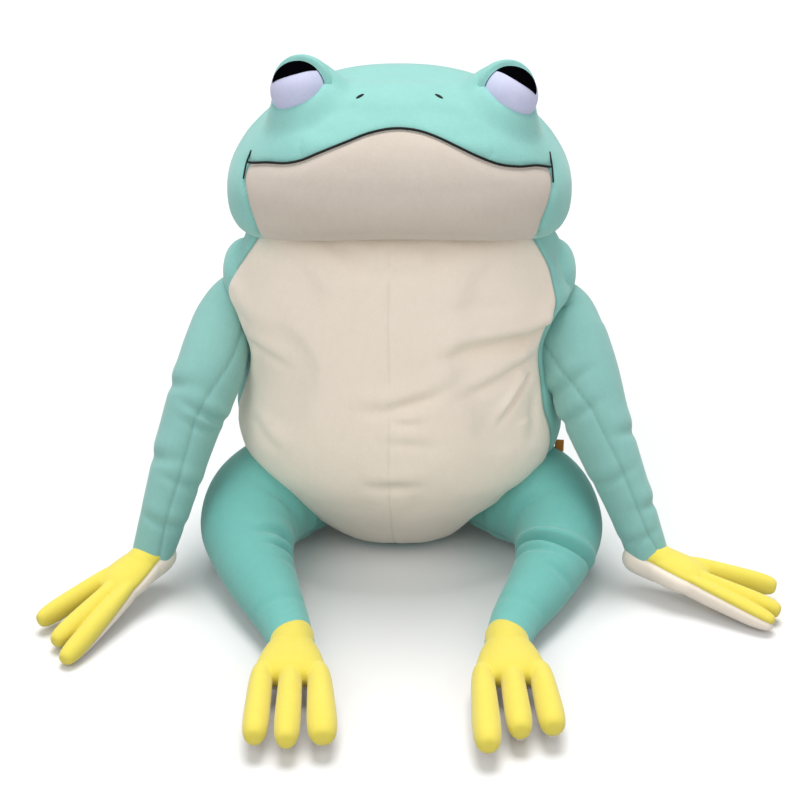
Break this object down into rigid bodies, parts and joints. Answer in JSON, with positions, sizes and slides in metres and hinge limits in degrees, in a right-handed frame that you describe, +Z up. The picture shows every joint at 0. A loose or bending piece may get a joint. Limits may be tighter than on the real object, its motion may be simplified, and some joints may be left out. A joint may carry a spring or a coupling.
{
  "type": "plush frog",
  "caption": "Big seated soft toy frog: wide head with bulging eyes, round belly, and floppy arms and legs that end in fingered hands and feet.",
  "frame": {"origin": "on the floor under the seat, in the middle of the torso from side to side", "axes": "+Z up, -Y the way the frog looks, +X its own left side"},
  "size_m": [0.7112, 0.549, 0.5055],
  "materials": {
    "cream_plush": "short pile, matt",
    "mint_plush": "short pile, matt",
    "fibre_fill": "loose fibre",
    "orange_tape": "woven tape, bare",
    "black_thread": "satin stitch",
    "white_plush": "smooth short pile, matt",
    "black_felt": "felt, matt",
    "yellow_plush": "short pile, matt"
  },
  "bodies": {
    "torso": {"belly_panel_left": "cream_plush", "belly_panel_right": "cream_plush", "back_panel": "mint_plush", "seat_panel": "mint_plush", "torso_stuffing": "fibre_fill", "side_label": "orange_tape"},
    "head": {"crown_panel": "mint_plush", "jaw_panel": "cream_plush", "head_stuffing": "fibre_fill", "mouth_embroidery": "black_thread", "eye_right": "white_plush", "pupil_right": "black_felt", "eyelid_right": "mint_plush", "nostril_right": "black_thread", "eye_left": "white_plush", "pupil_left": "black_felt", "eyelid_left": "mint_plush", "nostril_left": "black_thread"},
    "hand_right": {"hand_top_right": "yellow_plush", "hand_palm_right": "cream_plush"},
    "forearm_right": {"forearm_sleeve_right": "mint_plush", "forearm_stuffing_right": "fibre_fill"},
    "upper_arm_right": {"upper_arm_sleeve_right": "mint_plush", "upper_arm_stuffing_right": "fibre_fill"},
    "foot_right": {"foot_top_right": "yellow_plush", "foot_sole_right": "cream_plush"},
    "shin_right": {"shin_sleeve_right": "mint_plush", "shin_stuffing_right": "fibre_fill"},
    "thigh_right": {"thigh_sleeve_right": "mint_plush", "thigh_stuffing_right": "fibre_fill"},
    "hand_left": {"hand_top_left": "yellow_plush", "hand_palm_left": "cream_plush"},
    "forearm_left": {"forearm_sleeve_left": "mint_plush", "forearm_stuffing_left": "fibre_fill"},
    "upper_arm_left": {"upper_arm_sleeve_left": "mint_plush", "upper_arm_stuffing_left": "fibre_fill"},
    "foot_left": {"foot_top_left": "yellow_plush", "foot_sole_left": "cream_plush"},
    "shin_left": {"shin_sleeve_left": "mint_plush", "shin_stuffing_left": "fibre_fill"},
    "thigh_left": {"thigh_sleeve_left": "mint_plush", "thigh_stuffing_left": "fibre_fill"}
  },
  "joints": [
    {"name": "neck_nod", "type": "hinge", "parent": "torso", "child": "head", "pos_m": [0, -0.01, 0.264], "axis": [1, 0, 0], "range_deg": [-10, 6]},
    {"name": "shoulder_swing_right", "type": "hinge", "parent": "torso", "child": "upper_arm_right", "pos_m": [-0.175, -0.011, 0.231], "axis": [-1, 0, 0], "range_deg": [-35, 60]},
    {"name": "elbow_fold_right", "type": "hinge", "parent": "upper_arm_right", "child": "forearm_right", "pos_m": [-0.211, -0.086, 0.144], "axis": [-0.9674, 0.1263, 0.2194], "range_deg": [-10, 60]},
    {"name": "wrist_fold_right", "type": "hinge", "parent": "forearm_right", "child": "hand_right", "pos_m": [-0.243, -0.147, 0.038], "axis": [-0.7771, 0.6293, 0], "range_deg": [-40, 20]},
    {"name": "hip_spread_right", "type": "hinge", "parent": "torso", "child": "thigh_right", "pos_m": [-0.108, -0.045, 0.05], "axis": [0, 0, -1], "range_deg": [-10, 20]},
    {"name": "knee_fold_right", "type": "hinge", "parent": "thigh_right", "child": "shin_right", "pos_m": [-0.15, -0.1, 0.046], "axis": [0, 0, 1], "range_deg": [-40, 15]},
    {"name": "ankle_fold_right", "type": "hinge", "parent": "shin_right", "child": "foot_right", "pos_m": [-0.1, -0.28, 0.023], "axis": [-1, 0, 0], "range_deg": [-25, 30]},
    {"name": "shoulder_swing_left", "type": "hinge", "parent": "torso", "child": "upper_arm_left", "pos_m": [0.175, -0.011, 0.231], "axis": [-1, 0, 0], "range_deg": [-35, 60]},
    {"name": "elbow_fold_left", "type": "hinge", "parent": "upper_arm_left", "child": "forearm_left", "pos_m": [0.211, -0.086, 0.144], "axis": [-0.9674, -0.1263, -0.2194], "range_deg": [-10, 60]},
    {"name": "wrist_fold_left", "type": "hinge", "parent": "forearm_left", "child": "hand_left", "pos_m": [0.243, -0.147, 0.038], "axis": [-0.5, -0.866, 0], "range_deg": [-40, 20]},
    {"name": "hip_spread_left", "type": "hinge", "parent": "torso", "child": "thigh_left", "pos_m": [0.108, -0.045, 0.05], "axis": [0, 0, 1], "range_deg": [-10, 20]},
    {"name": "knee_fold_left", "type": "hinge", "parent": "thigh_left", "child": "shin_left", "pos_m": [0.15, -0.1, 0.046], "axis": [0, 0, -1], "range_deg": [-40, 15]},
    {"name": "ankle_fold_left", "type": "hinge", "parent": "shin_left", "child": "foot_left", "pos_m": [0.1, -0.28, 0.023], "axis": [-0.9976, -0.0698, 0], "range_deg": [-25, 30]}
  ]
}
